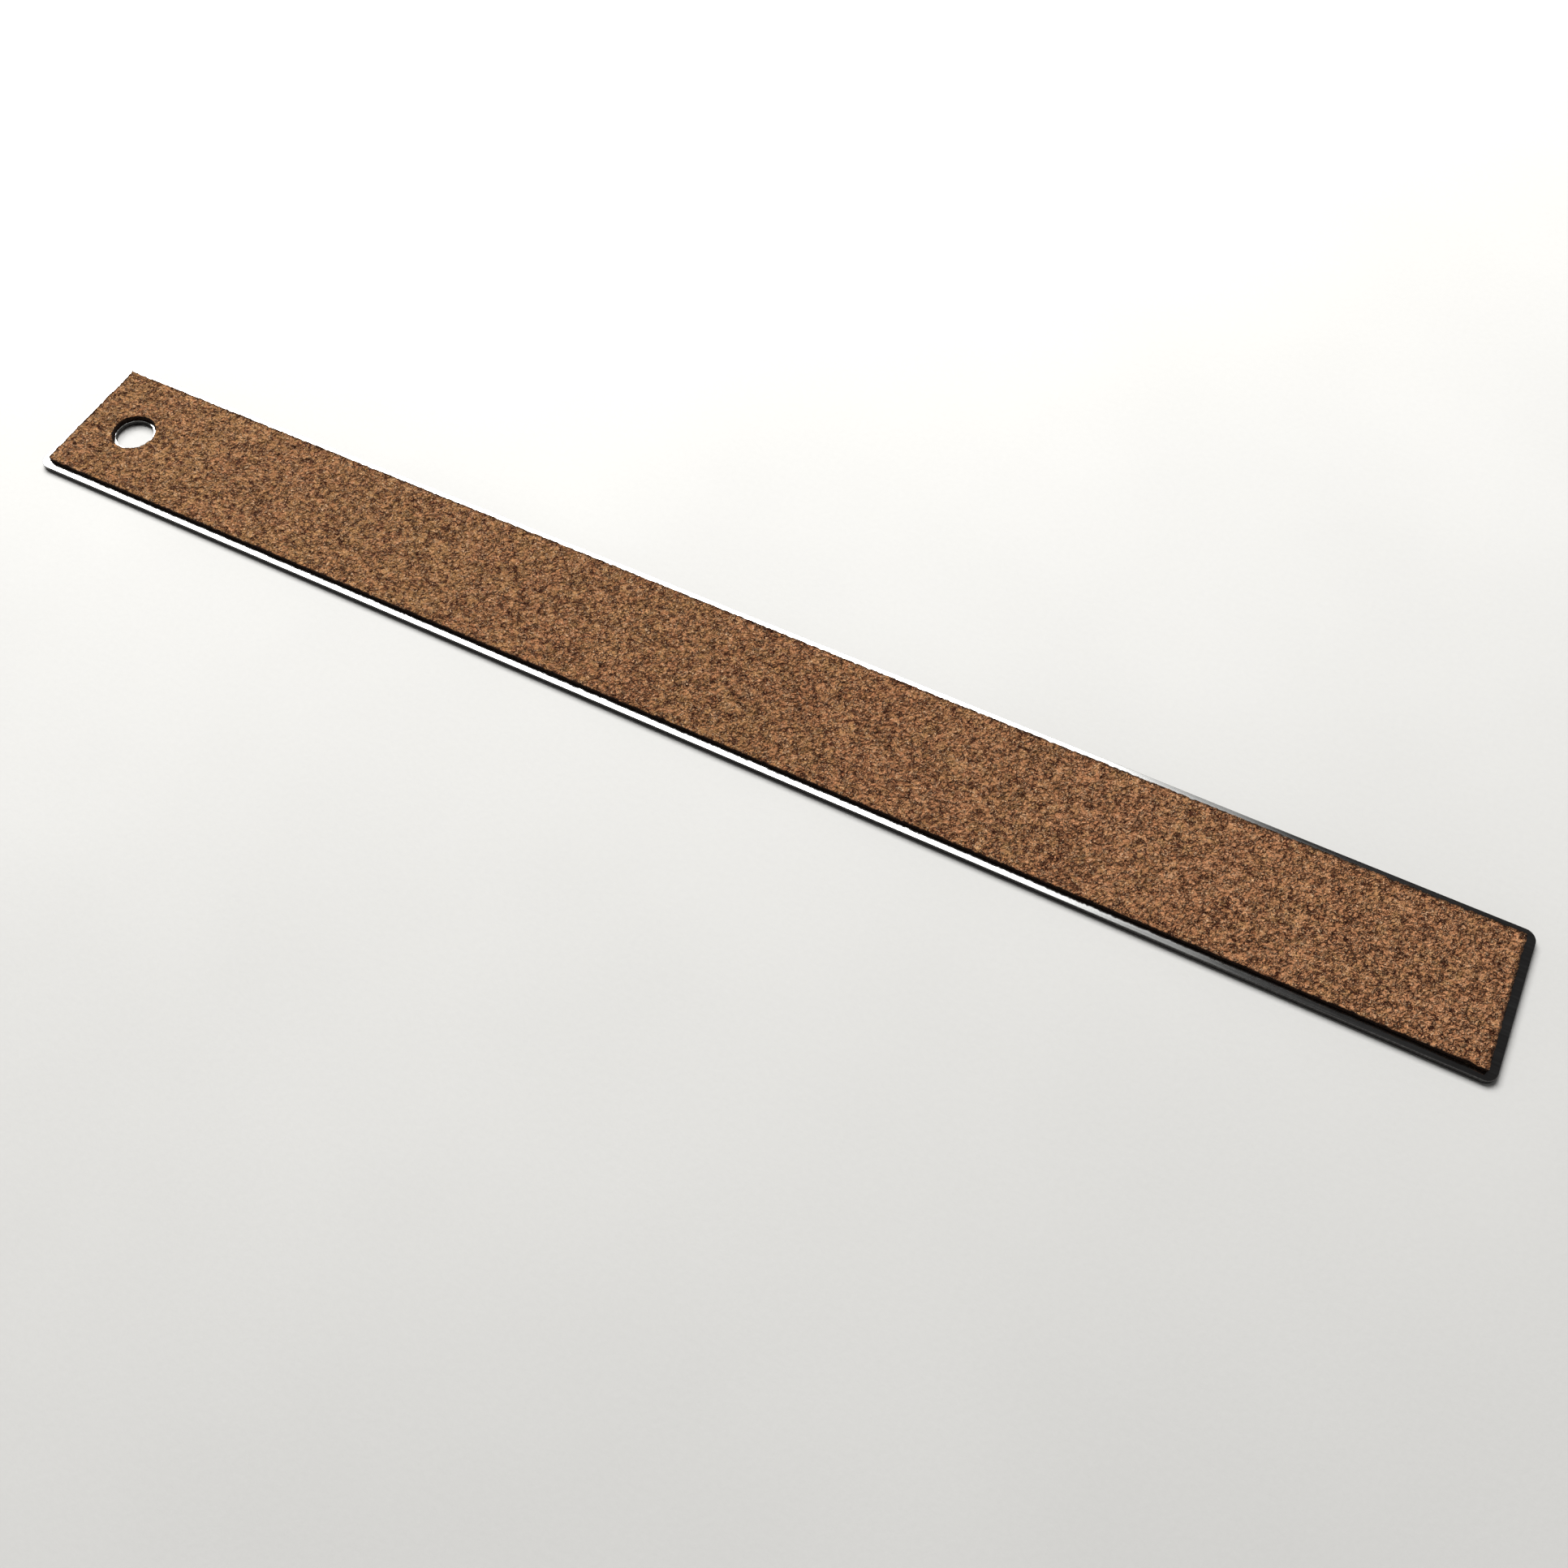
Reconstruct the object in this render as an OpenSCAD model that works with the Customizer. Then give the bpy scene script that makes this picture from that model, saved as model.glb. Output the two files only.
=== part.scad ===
// Cork-backed steel ruler, lying with its graduated face down and its cork up.
// X runs along the length with the hanging hole at the -X end, Y across, Z up.
// The origin is the middle of the graduated face, which the ruler rests on.

/* [Blade] */
// Length of the inch scale, in inches
scale_inches = 12; // [4:1:18]
// Bare steel before the first inch line and after the last one
end_land = 3.175; // [2.6:0.005:8]
// Width of the steel blade
blade_w = 31.75; // [30:0.05:45]
// Thickness of the steel blade
blade_t = 1.2; // [0.8:0.1:2]
// Radius of the blade's four corners, seen from above
corner_r = 2.2; // [1:0.1:2.6]
// Size of the small flat that takes the sharpness off every blade edge
edge_break = 0.1; // [0.05:0.01:0.2]

/* [Hanging hole] */
// Diameter of the hole through the steel
hole_d = 8; // [5:0.1:9]
// Distance from the end of the blade to the hole's centre
hole_inset = 13; // [10:0.1:20]
// How much wider the hole in the cork is than the hole in the steel
cork_hole_extra = 0.9; // [0.4:0.1:3]
// How far the cork's hole sits off the steel's, towards the plain end
cork_hole_shift_x = 0.3; // [-0.5:0.05:0.5]
// How far the cork's hole sits off the steel's, towards the inch edge
cork_hole_shift_y = -0.15; // [-0.5:0.05:0.5]

/* [Cork backing] */
// Thickness of the cork strip
cork_t = 1.1; // [0.8:0.1:2.5]
// Bare steel left beside the cork along both long edges
cork_side_margin = 1.5875; // [1:0.0125:4]
// Bare steel left past the cork at the end with the hole
cork_hole_end_margin = 1.5875; // [1:0.0125:4]
// Bare steel left past the cork at the plain end
cork_plain_end_margin = 1.9; // [1:0.05:4]
// Thickness of the adhesive film between steel and cork
film_t = 0.1; // [0.05:0.01:0.2]
// How far the film stops short of the cork's cut edge
film_inset = 0.15; // [0.05:0.05:0.5]

/* [Etched scales] */
// Depth of the etched lines and numbers in the steel
etch_depth = 0.08; // [0.05:0.01:0.15]
// How far the paint in them lies below the steel's face
paint_recess = 0.02; // [0.01:0.01:0.04]
// Width of a scale line
line_w = 0.2; // [0.12:0.01:0.3]
// Plain steel between the blade's edge and the start of each line
edge_land = 0.3; // [0.25:0.05:0.6]
// Divisions of an inch
inch_parts = 16; // [2, 4, 8, 16]
// Length of a whole-inch line
inch_line = 8.2; // [7:0.1:9]
// Length of a whole-centimetre line
cm_line = 6.8; // [6:0.1:7.5]
// Height of the inch numbers
inch_digit_h = 3.2; // [2.6:0.1:3.4]
// Height of the centimetre numbers
cm_digit_h = 2.3; // [1.8:0.1:2.6]

/* [Hidden] */
$fn = 96;
eps = 0.01;

inch = 25.4;
scale_l = scale_inches * inch;
blade_l = scale_l + 2 * end_land;
cm_count = floor(scale_l / 10);
hole_x = -blade_l / 2 + hole_inset;
cork_x = -blade_l / 2 + cork_hole_end_margin;
cork_l = blade_l - cork_hole_end_margin - cork_plain_end_margin;
cork_w = blade_w - 2 * cork_side_margin;
film_z = blade_t;
cork_z = blade_t + film_t;
cork_hole_d = hole_d + cork_hole_extra;
cork_hole_x = hole_x + cork_hole_shift_x;

// Both scales start at the end away from the hole. Seen from below with the
// hole on the right, u runs to the right from the middle and v up.
zero_u = -scale_l / 2;
edge_v = blade_w / 2 - edge_land;

// Length of the line at the k-th part of an inch.
function inch_len(k) =
    k % inch_parts == 0 ? inch_line :
    (2 * k) % inch_parts == 0 ? 5 :
    (4 * k) % inch_parts == 0 ? 4 :
    (8 * k) % inch_parts == 0 ? 3 : 2.1;

// Length of the line at the k-th millimetre.
function mm_len(k) = k % 10 == 0 ? cm_line : k % 5 == 0 ? 4.6 : 3.2;

// ---- numbers, drawn as strokes of even width in a cell one unit high ----

stroke = 0.13;   // width of a stroke
half_w = 0.23;   // half the width of a number, to the middle of its strokes

// Points along an arc from angle a0 to a1.
function arc(cx, cy, rx, ry, a0, a1, n) =
    [for (i = [0:n]) let (a = a0 + (a1 - a0) * i / n) [cx + rx * cos(a), cy + ry * sin(a)]];

function unit2(v) = v / norm(v);
function left_of(v) = [-v[1], v[0]];

// Sideways direction at point i of an open line, lengthened at a bend so that
// the stroke keeps its width.
function side(p, i) =
    let (n = len(p) - 1,
         a = unit2(i > 0 ? p[i] - p[i - 1] : p[1] - p[0]),
         b = unit2(i < n ? p[i + 1] - p[i] : p[n] - p[n - 1]),
         m = unit2(left_of(a) + left_of(b)))
    m / (m * left_of(a));

// Outline of an open line drawn with a stroke of width w.
function outline(p, w) = concat(
    [for (i = [0:len(p) - 1]) p[i] - side(p, i) * w / 2],
    [for (i = [len(p) - 1:-1:0]) p[i] + side(p, i) * w / 2]);

module stroke_line(p) { polygon(outline(p, stroke)); }

// A closed ring of one stroke's width.
module stroke_ring(cy, rx, ry, n) {
    o = arc(0, cy, rx + stroke / 2, ry + stroke / 2, 0, 360 - 360 / n, n - 1);
    i = arc(0, cy, rx - stroke / 2, ry - stroke / 2, 0, 360 - 360 / n, n - 1);
    polygon(points = concat(o, i), paths = [[for (k = [0:n - 1]) k], [for (k = [0:n - 1]) n + k]]);
}

// An upright ring with straight flanks.
module stroke_loop(n) {
    ro = half_w + stroke / 2;
    ri = half_w - stroke / 2;
    o = concat(arc(0, 1 - ro, ro, ro, 0, 180, n), arc(0, ro, ro, ro, 180, 360, n));
    i = concat(arc(0, 1 - ro, ri, ri, 0, 180, n), arc(0, ro, ri, ri, 180, 360, n));
    polygon(points = concat(o, i), paths = [[for (k = [0:2 * n + 1]) k], [for (k = [0:2 * n + 1]) 2 * n + 2 + k]]);
}

module digit(d) {
    top = 1 - stroke / 2;
    if (d == 0) stroke_loop(8);
    if (d == 1) polygon([[0.08, 0], [0.08, 1], [-0.04, 1], [-0.2, 0.84], [-0.2, 0.69], [-0.05, 0.81], [-0.05, 0]]);
    if (d == 2) {
        stroke_line(concat(arc(0, top - half_w, half_w, half_w, 170, -34, 9), [[-half_w + 0.005, 0.065]]));
        translate([-half_w - stroke / 2, 0]) square([2 * half_w + stroke, stroke]);
    }
    if (d == 3) {
        stroke_line(arc(-0.01, 0.725, 0.2, 0.21, 160, -90, 10));
        stroke_line(arc(-0.01, 0.29, 0.24, 0.225, 90, -160, 10));
        translate([-0.1, 0.45]) square([0.12, stroke]);
    }
    if (d == 4) {
        polygon([[0.02, 1], [-0.3, 0.31], [-0.3, 0.22], [0.32, 0.22], [0.32, 0.35], [-0.14, 0.35], [0.163, 1]]);
        translate([0.06, 0]) square([stroke, 0.56]);
    }
    if (d == 5) {
        stroke_line([[0.26, top], [-0.17, top], [-0.2, 0.44]]);
        stroke_line(arc(0, 0.31, 0.24, 0.245, 140, -150, 12));
    }
    if (d == 6) six();
    if (d == 7) polygon([[-0.285, 1], [-0.285, 0.87], [0.125, 0.87], [-0.135, 0], [0.005, 0], [0.275, 0.9], [0.275, 1]]);
    if (d == 8) {
        stroke_ring(0.73, 0.19, 0.205, 14);
        stroke_ring(0.295, 0.23, 0.23, 16);
    }
    if (d == 9) translate([0, 1]) rotate(180) six();
}

module six() {
    stroke_ring(0.3, 0.23, 0.235, 16);
    stroke_line(arc(0.1, 0.3, 0.33, 0.635, 72, 180, 8));
}

// A whole number that ends at u = 0, h high.
module number(n, h) {
    digits = n >= 10 ? [floor(n / 10), n % 10] : [n];
    for (i = [0:len(digits) - 1])
        translate([-(len(digits) - i - 0.5) * 0.74 * h, 0]) scale(h) digit(digits[i]);
}

// Puts a flat drawing of the graduated face, seen from below, in place between
// two heights.
module on_face(z0, z1) {
    translate([0, 0, z0]) mirror([1, 0, 0]) linear_extrude(z1 - z0) children();
}

module inch_lines() {
    for (k = [0:scale_inches * inch_parts])
        translate([zero_u + k * inch / inch_parts - line_w / 2, edge_v - inch_len(k)])
            square([line_w, inch_len(k)]);
}

module mm_lines() {
    for (k = [0:cm_count * 10])
        translate([zero_u + k - line_w / 2, -edge_v]) square([line_w, mm_len(k)]);
}

module inch_numbers() {
    for (k = [1:scale_inches])
        translate([zero_u + k * inch - 0.55, edge_v - inch_line]) number(k, inch_digit_h);
}

module cm_numbers() {
    for (k = [1:cm_count])
        translate([zero_u + k * 10 - 0.4, -edge_v + cm_line - cm_digit_h]) number(k, cm_digit_h);
}

// Blade outline as a flat bar with every edge broken, run along its length.
module bar(len, width) {
    e = edge_break;
    rotate([90, 0, 90]) translate([0, 0, -len / 2]) linear_extrude(len)
        polygon([[-width / 2 + e, 0], [width / 2 - e, 0], [width / 2, e], [width / 2, blade_t - e],
                 [width / 2 - e, blade_t], [-width / 2 + e, blade_t], [-width / 2, blade_t - e], [-width / 2, e]]);
}

module corner_disc() {
    e = edge_break;
    rotate_extrude()
        polygon([[0, 0], [corner_r - e, 0], [corner_r, e], [corner_r, blade_t - e],
                 [corner_r - e, blade_t], [0, blade_t]]);
}

module steel_blade() color([0.72, 0.73, 0.74]) difference() {
    union() {
        bar(blade_l - 2 * corner_r, blade_w);
        rotate(90) bar(blade_w - 2 * corner_r, blade_l);
        for (x = [-1, 1], y = [-1, 1])
            translate([x * (blade_l / 2 - corner_r), y * (blade_w / 2 - corner_r), 0]) corner_disc();
    }
    translate([hole_x, 0, -1]) cylinder(d = hole_d, h = blade_t + 2);
    translate([hole_x, 0, -eps]) cylinder(d1 = hole_d + 2 * (edge_break + eps), d2 = hole_d, h = edge_break + eps);
    translate([hole_x, 0, blade_t - edge_break]) cylinder(d1 = hole_d, d2 = hole_d + 2 * (edge_break + eps), h = edge_break + eps);
    on_face(-0.5, etch_depth) inch_lines();
    on_face(-0.5, etch_depth) mm_lines();
    on_face(-0.5, etch_depth) inch_numbers();
    on_face(-0.5, etch_depth) cm_numbers();
}

module adhesive_film() color([0.80, 0.76, 0.62]) difference() {
    translate([cork_x + film_inset, -cork_w / 2 + film_inset, film_z])
        cube([cork_l - 2 * film_inset, cork_w - 2 * film_inset, film_t]);
    translate([cork_hole_x, cork_hole_shift_y, film_z - 1]) cylinder(d = cork_hole_d + 2 * film_inset, h = film_t + 2);
}

module cork_backing() color([0.51, 0.36, 0.26]) difference() {
    translate([cork_x, -cork_w / 2, cork_z]) cube([cork_l, cork_w, cork_t]);
    translate([cork_hole_x, cork_hole_shift_y, cork_z - 1]) cylinder(d = cork_hole_d, h = cork_t + 2);
}

// Black paint that fills the etched lines and numbers, a little below the face.
module inch_graduations() color([0.05, 0.05, 0.05]) on_face(paint_recess, etch_depth) inch_lines();

module inch_numerals() color([0.05, 0.05, 0.05]) on_face(paint_recess, etch_depth) inch_numbers();

module metric_graduations() color([0.05, 0.05, 0.05]) on_face(paint_recess, etch_depth) mm_lines();

module metric_numerals() color([0.05, 0.05, 0.05]) on_face(paint_recess, etch_depth) cm_numbers();

steel_blade();
adhesive_film();
cork_backing();
inch_graduations();
inch_numerals();
metric_graduations();
metric_numerals();
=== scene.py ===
import math

import bpy
import numpy as np
from mathutils import Matrix, Vector
from mathutils.geometry import delaunay_2d_cdt


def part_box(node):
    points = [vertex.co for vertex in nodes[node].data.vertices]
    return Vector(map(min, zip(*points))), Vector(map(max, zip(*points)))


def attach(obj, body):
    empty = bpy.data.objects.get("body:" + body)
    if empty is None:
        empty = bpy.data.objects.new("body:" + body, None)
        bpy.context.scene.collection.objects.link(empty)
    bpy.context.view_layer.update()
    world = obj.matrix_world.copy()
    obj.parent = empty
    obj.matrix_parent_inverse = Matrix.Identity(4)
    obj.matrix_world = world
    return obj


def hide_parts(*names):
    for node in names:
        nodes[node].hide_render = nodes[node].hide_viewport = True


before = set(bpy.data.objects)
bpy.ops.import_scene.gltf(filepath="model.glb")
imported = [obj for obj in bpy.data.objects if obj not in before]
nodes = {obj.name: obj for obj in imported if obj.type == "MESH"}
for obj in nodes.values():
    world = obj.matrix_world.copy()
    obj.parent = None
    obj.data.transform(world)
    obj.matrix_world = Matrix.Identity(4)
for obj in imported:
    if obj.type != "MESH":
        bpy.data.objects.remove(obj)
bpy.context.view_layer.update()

MM = 0.001
scene = bpy.context.scene


# ---------------------------------------------------------------- the CAD's own sizes, in mm
blade_lo, blade_hi = [[c / MM for c in corner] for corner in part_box("steel_blade")]
cork_lo, cork_hi = [[c / MM for c in corner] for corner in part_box("cork_backing")]
BL, BW, BT = blade_hi[0] - blade_lo[0], blade_hi[1] - blade_lo[1], blade_hi[2]
CORNER_R, EDGE = 2.2, 0.1
HOLE_X, HOLE_R = blade_lo[0] + 13.0, 4.0
CORK_HOLE_X, CORK_HOLE_Y, CORK_HOLE_R = HOLE_X + 0.3, -0.15, 4.45
ETCH, PAINT_LOW = 0.08, 0.02


# ---------------------------------------------------------------- seeded noise, the same on every run
def rnd(ix, iy, k):
    """A number from 0 to 1 for each pair of whole numbers."""
    ix = np.asarray(ix).astype(np.int64)
    iy = np.asarray(iy).astype(np.int64)
    h = (ix * 73856093 ^ iy * 19349663 ^ (k * 83492791)) & 0xFFFFFFFF
    h = ((h ^ (h >> 15)) * 0x2C1B3C6D) & 0xFFFFFFFF
    h = ((h ^ (h >> 12)) * 0x297A2D39) & 0xFFFFFFFF
    h = h ^ (h >> 15)
    return (h & 0xFFFFFF) / float(0x1000000)


def value_noise(x, y, size, k):
    """Smooth noise from -1 to 1 with features about size mm across."""
    u, v = np.asarray(x) / size, np.asarray(y) / size
    i, j = np.floor(u), np.floor(v)
    fu, fv = u - i, v - j
    fu, fv = fu * fu * (3 - 2 * fu), fv * fv * (3 - 2 * fv)
    a = rnd(i, j, k) * (1 - fu) + rnd(i + 1, j, k) * fu
    b = rnd(i, j + 1, k) * (1 - fu) + rnd(i + 1, j + 1, k) * fu
    return 2 * (a * (1 - fv) + b * fv) - 1


def cells(x, y, size, k):
    """Distance to the nearest and the second nearest of scattered points, the nearest one's whole-number cell,
    and the way to it."""
    u, v = np.asarray(x) / size, np.asarray(y) / size
    i0, j0 = np.floor(u).astype(np.int64), np.floor(v).astype(np.int64)
    f1 = np.full(u.shape, 9.0)
    f2 = np.full(u.shape, 9.0)
    ci, cj = i0.copy(), j0.copy()
    ox, oy = np.zeros_like(u), np.zeros_like(u)
    for di in (-1, 0, 1):
        for dj in (-1, 0, 1):
            i, j = i0 + di, j0 + dj
            px = i + 0.08 + 0.84 * rnd(i, j, k)
            py = j + 0.08 + 0.84 * rnd(i, j, k + 1)
            d = np.hypot(u - px, v - py)
            near = d < f1
            f2 = np.where(near, f1, np.minimum(f2, d))
            ci, cj = np.where(near, i, ci), np.where(near, j, cj)
            ox, oy = np.where(near, u - px, ox), np.where(near, v - py, oy)
            f1 = np.where(near, d, f1)
    return f1 * size, f2 * size, ci, cj, ox * size, oy * size


def smooth(a, b, x):
    t = np.clip((x - a) / (b - a), 0, 1)
    return t * t * (3 - 2 * t)


# ---------------------------------------------------------------- meshes
def make_object(name, verts_mm, faces, smooth_shade=True):
    me = bpy.data.meshes.new(name)
    me.from_pydata([tuple(c * MM for c in v) for v in verts_mm], [], faces)
    me.validate(verbose=False)
    me.update()
    ob = bpy.data.objects.new(name, me)
    scene.collection.objects.link(ob)
    if smooth_shade:
        me.polygons.foreach_set("use_smooth", [True] * len(me.polygons))
    return ob


def rounded_ring(inset, n=20):
    """Points of the blade's outline, drawn in by inset, anticlockwise from above."""
    hl, hw, r = BL / 2 - inset, BW / 2 - inset, CORNER_R - inset
    pts = []
    for cx, cy, a0 in ((1, -1, -90), (1, 1, 0), (-1, 1, 90), (-1, -1, 180)):
        for i in range(n + 1):
            a = math.radians(a0 + 90 * i / n)
            pts.append((cx * (hl - r) + r * math.cos(a), cy * (hw - r) + r * math.sin(a)))
    return pts


def circle_ring(r, n=128):
    return [(HOLE_X + r * math.cos(2 * math.pi * i / n), r * math.sin(2 * math.pi * i / n)) for i in range(n)]


def paint_triangles():
    """The lower faces of the painted lines and numbers, as points and triangles in mm."""
    pts, tris, seen = [], [], {}
    for name in ("inch_graduations", "inch_numerals", "metric_graduations", "metric_numerals"):
        me = nodes[name].data
        co = np.empty(len(me.vertices) * 3)
        me.vertices.foreach_get("co", co)
        co = co.reshape(-1, 3) / MM
        for p in me.polygons:
            v = [co[i] for i in p.vertices]
            if max(c[2] for c in v) < PAINT_LOW + 0.01:
                ids = []
                for c in v:
                    key = (round(c[0], 3), round(c[1], 3))
                    if key not in seen:
                        seen[key] = len(pts)
                        pts.append((float(c[0]), float(c[1])))
                    if not ids or ids[-1] != seen[key]:
                        ids.append(seen[key])
                if len(set(ids)) >= 3:
                    tris.append(ids)
    return pts, tris


def build_blade():
    verts, faces, kinds = [], [], []  # kinds: 0 flat face, 1 cut side, 2 inside an etched line, 3 the outline's rounded edges, 4 the hole's

    def add(pts, z):
        start = len(verts)
        verts.extend((x, y, z) for x, y in pts)
        return list(range(start, len(verts)))

    def bridge(a, b, kind):
        n = len(a)
        for i in range(n):
            j = (i + 1) % n
            faces.append((a[i], a[j], b[j], b[i]))
            kinds.append(kind)

    # the outside, from the lower face's border up to the upper face's border
    steps = 4
    profile = [(EDGE * (1 - math.sin(math.radians(90 * i / steps))), EDGE * (1 - math.cos(math.radians(90 * i / steps))))
               for i in range(steps + 1)]
    rings = [add(rounded_ring(inset), z) for inset, z in profile]
    rings += [add(rounded_ring(inset), BT - z) for inset, z in reversed(profile)]
    for i, (a, b) in enumerate(zip(rings, rings[1:])):
        bridge(a, b, 1 if i == steps else 3)
    # the hole, its rims lightly rounded
    holes = [add(circle_ring(HOLE_R + inset), z) for inset, z in profile]
    holes += [add(circle_ring(HOLE_R + inset), BT - z) for inset, z in reversed(profile)]
    for i, (a, b) in enumerate(zip(holes, holes[1:])):
        bridge(b, a, 1 if i == steps else 4)

    def fill(outer, hole, extra_pts, extra_tris, z, up):
        """A flat face between two rings, with the painted shapes cut into it."""
        xy = [(verts[i][0], verts[i][1]) for i in outer + hole] + extra_pts
        n_o, n_h = len(outer), len(hole)
        edges = [(i, (i + 1) % n_o) for i in range(n_o)]
        edges += [(n_o + i, n_o + (i + 1) % n_h) for i in range(n_h)]
        tri_faces = [[n_o + n_h + i for i in t] for t in extra_tris]
        res = delaunay_2d_cdt([Vector(p) for p in xy], edges, tri_faces, 0, 1e-5)
        out_v, out_f, orig_v, orig_f = res[0], res[2], res[3], res[5]
        ids = []
        for k, v in enumerate(out_v):
            src = next((s for s in orig_v[k] if s < n_o + n_h), None)
            if src is not None:
                ids.append((outer + hole)[src])
            else:
                ids.append(len(verts))
                verts.append((v[0], v[1], z))
        floor_ids = {}
        rim = {}
        for f, src in zip(out_f, orig_f):
            cx = sum(out_v[i][0] for i in f) / len(f)
            cy = sum(out_v[i][1] for i in f) / len(f)
            if math.hypot(cx - HOLE_X, cy) < HOLE_R:
                continue
            if not src:
                tri = [ids[i] for i in f]
                kind = 0
            else:
                for i in f:
                    if i not in floor_ids:
                        floor_ids[i] = len(verts)
                        verts.append((out_v[i][0], out_v[i][1], z + ETCH))
                tri = [floor_ids[i] for i in f]
                kind = 2
                for a, b in zip(f, list(f[1:]) + [f[0]]):
                    if (b, a) in rim:
                        del rim[(b, a)]
                    else:
                        rim[(a, b)] = True
            faces.append(tuple(tri) if up else tuple(reversed(tri)))
            kinds.append(kind)
        for a, b in rim:  # the etched lines' own walls
            faces.append((ids[a], ids[b], floor_ids[b], floor_ids[a]))
            kinds.append(2)

    fill(rings[-1], holes[-1], [], [], BT, True)
    pts, tris = paint_triangles()
    fill(rings[0], holes[0], pts, tris, 0.0, False)

    ob = make_object("blade_body", verts, faces)
    me = ob.data
    if len(me.polygons) != len(faces):
        raise RuntimeError("a face of the blade was dropped")
    me.polygons.foreach_set("material_index", kinds)
    # flat faces stay flat: their borders are sharp, and only the rounded edges are smooth
    beside = {}
    for p in me.polygons:
        for key in p.edge_keys:
            beside.setdefault(key, set()).add(kinds[p.index])
    sharp = [2 in beside[key] or (0 in beside[key] and len(beside[key]) > 1)
             for key in (tuple(sorted(e.vertices)) for e in me.edges)]
    layer = me.attributes.new("sharp_edge", "BOOLEAN", "EDGE") if "sharp_edge" not in me.attributes else me.attributes["sharp_edge"]
    layer.data.foreach_set("value", sharp)
    me.update()
    return ob


def build_cork():
    x0, y0, zb = cork_lo
    x1, y1, zt = cork_hi
    half = 6.9  # half the square patch that holds the hole
    n_patch = 44
    xs = np.concatenate([
        np.linspace(x0, CORK_HOLE_X - half, 16)[:-1],
        np.linspace(CORK_HOLE_X - half, CORK_HOLE_X + half, n_patch + 1)[:-1],
        np.linspace(CORK_HOLE_X + half, x1, 906)])
    ys = np.concatenate([
        np.linspace(y0, CORK_HOLE_Y - half, 24)[:-1],
        np.linspace(CORK_HOLE_Y - half, CORK_HOLE_Y + half, n_patch + 1)[:-1],
        np.linspace(CORK_HOLE_Y + half, y1, 24)])
    nx, ny = len(xs), len(ys)
    pi0, pj0 = 15, 23
    gx, gy = np.meshgrid(xs, ys, indexing="ij")
    index = np.full((nx, ny), -1, dtype=np.int64)
    keep = np.ones((nx, ny), bool)
    keep[pi0 + 1:pi0 + n_patch, pj0 + 1:pj0 + n_patch] = False
    index[keep] = np.arange(keep.sum())
    px, py = gx[keep].copy(), gy[keep].copy()
    n_grid = len(px)

    # faces of the plain grid
    quads = []
    a, b, c, d = index[:-1, :-1], index[1:, :-1], index[1:, 1:], index[:-1, 1:]
    ok = (a >= 0) & (b >= 0) & (c >= 0) & (d >= 0)
    ok[pi0:pi0 + n_patch, pj0:pj0 + n_patch] = False
    quads.append(np.stack([a[ok], b[ok], c[ok], d[ok]], 1))

    # the patch round the hole: rows of points from the hole's rim out to the square
    per = [(pi0 + i, pj0) for i in range(n_patch)]
    per += [(pi0 + n_patch, pj0 + i) for i in range(n_patch)]
    per += [(pi0 + n_patch - i, pj0 + n_patch) for i in range(n_patch)]
    per += [(pi0, pj0 + n_patch - i) for i in range(n_patch)]
    n_ring = len(per)
    square = np.array([index[i, j] for i, j in per])
    ang = np.arctan2(py[square] - CORK_HOLE_Y, px[square] - CORK_HOLE_X)
    rows = 10
    ring_ids = []
    add_x, add_y = [], []
    for k in range(rows):
        t = (k / rows) ** 1.25
        hx = CORK_HOLE_X + CORK_HOLE_R * np.cos(ang)
        hy = CORK_HOLE_Y + CORK_HOLE_R * np.sin(ang)
        ring_ids.append(n_grid + k * n_ring + np.arange(n_ring))
        add_x.append(hx * (1 - t) + px[square] * t)
        add_y.append(hy * (1 - t) + py[square] * t)
    ring_ids.append(square)
    px, py = np.concatenate([px] + add_x), np.concatenate([py] + add_y)
    for k in range(rows):
        r0, r1 = ring_ids[k], ring_ids[k + 1]
        quads.append(np.stack([r0, r1, np.roll(r1, -1), np.roll(r0, -1)], 1))
    n_top = len(px)

    # outer border, anticlockwise from above
    border = [index[i, 0] for i in range(nx - 1)] + [index[nx - 1, j] for j in range(ny - 1)]
    border += [index[i, ny - 1] for i in range(nx - 1, 0, -1)] + [index[0, j] for j in range(ny - 1, 0, -1)]
    border = np.array(border)
    hole = ring_ids[0]

    # ---- how far the cut edges are eaten away, in mm, always into the cork
    def ragged(s, z, k):
        rough = 0.035 + 0.03 * value_noise(s, z * 2.2, 0.7, k) + 0.025 * value_noise(s, z * 3, 0.34, k + 1)
        chip = smooth(0.35, 0.8, value_noise(s, z * 0.5, 0.62, k + 2)) * 0.09
        cell = np.floor(s / 4.0)
        at = (cell + 0.15 + 0.7 * rnd(cell, cell * 0, k + 3)) * 4.0
        wide = 0.2 + 0.3 * rnd(cell, cell * 0, k + 4)
        deep = np.maximum(rnd(cell, cell * 0, k + 5) - 0.62, 0) * 0.7
        nick = deep * np.exp(-((s - at) / wide) ** 2)
        return np.clip(rough, 0.004, None) + (chip + nick) * (0.35 + 0.65 * smooth(0.0, 1.0, z))

    def inward(x, y, z, reach=1.0):
        """Shift into the cork of a point at x, y, where z runs from 0 at the foot to 1 at the top."""
        dx, dy = np.zeros_like(x), np.zeros_like(y)
        for axis, sign, edge, k in ((0, 1, x0, 11), (0, -1, x1, 31), (1, 1, y0, 51), (1, -1, y1, 71)):
            dist = sign * ((x if axis == 0 else y) - edge)
            along = y if axis == 0 else x
            w = np.clip(1 - dist / reach, 0, 1) ** 2
            shift = sign * w * ragged(along + 400.0, z, k) * (0.65 if k == 51 else 1.0)
            if axis == 0:
                dx += shift
            else:
                dy += shift
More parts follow.
